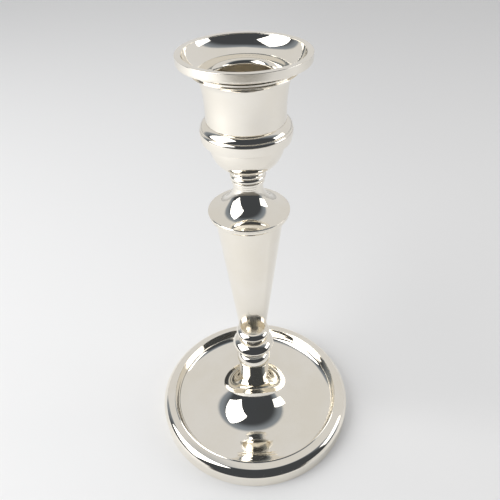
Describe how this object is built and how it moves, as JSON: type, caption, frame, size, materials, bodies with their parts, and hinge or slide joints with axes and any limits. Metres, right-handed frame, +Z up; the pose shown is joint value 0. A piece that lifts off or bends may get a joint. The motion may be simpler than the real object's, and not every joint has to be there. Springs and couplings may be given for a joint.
{
  "type": "candlestick",
  "caption": "Polished silver table candlestick with a dished round foot, knopped stem, tapering column, urn-shaped cup and a lift-out nozzle.",
  "frame": {"origin": "centre of the circle on which the foot stands", "axes": "+Z up the candlestick's axis, towards the candle; +X and +Y lie in the table and are interchangeable, because every piece but the hidden nuts is turned about Z"},
  "size_m": [0.1208, 0.1208, 0.23],
  "materials": {
    "silver": "polished sterling silver with fine wear scratches",
    "steel": "plain mild steel",
    "load": "cast plaster and pitch",
    "baize": "wool baize"
  },
  "bodies": {
    "candlestick": {"cup_wall": "silver", "cup_moulding": "silver", "cup_bowl": "silver", "neck_collar": "silver", "neck_ring": "silver", "neck_fillet": "silver", "shoulder_trumpet": "silver", "shoulder_wire": "silver", "column": "silver", "column_ferrule": "silver", "knop": "silver", "knop_ring": "silver", "foot_flare": "silver", "foot_dish": "silver", "foot_border": "silver", "cup_washer": "steel", "cup_nut": "steel", "foot_plate": "steel", "tie_rod": "steel", "foot_washer": "steel", "foot_nut": "steel", "foot_filler": "load", "column_filler": "load", "baize_pad": "baize"},
    "nozzle": {"nozzle_rim": "silver", "nozzle_pan": "silver", "candle_socket": "silver", "socket_floor": "silver"}
  },
  "joints": [
    {"name": "nozzle_lift", "type": "slide", "parent": "candlestick", "child": "nozzle", "axis": [0, 0, 1], "range_m": [0, 0.035]}
  ]
}
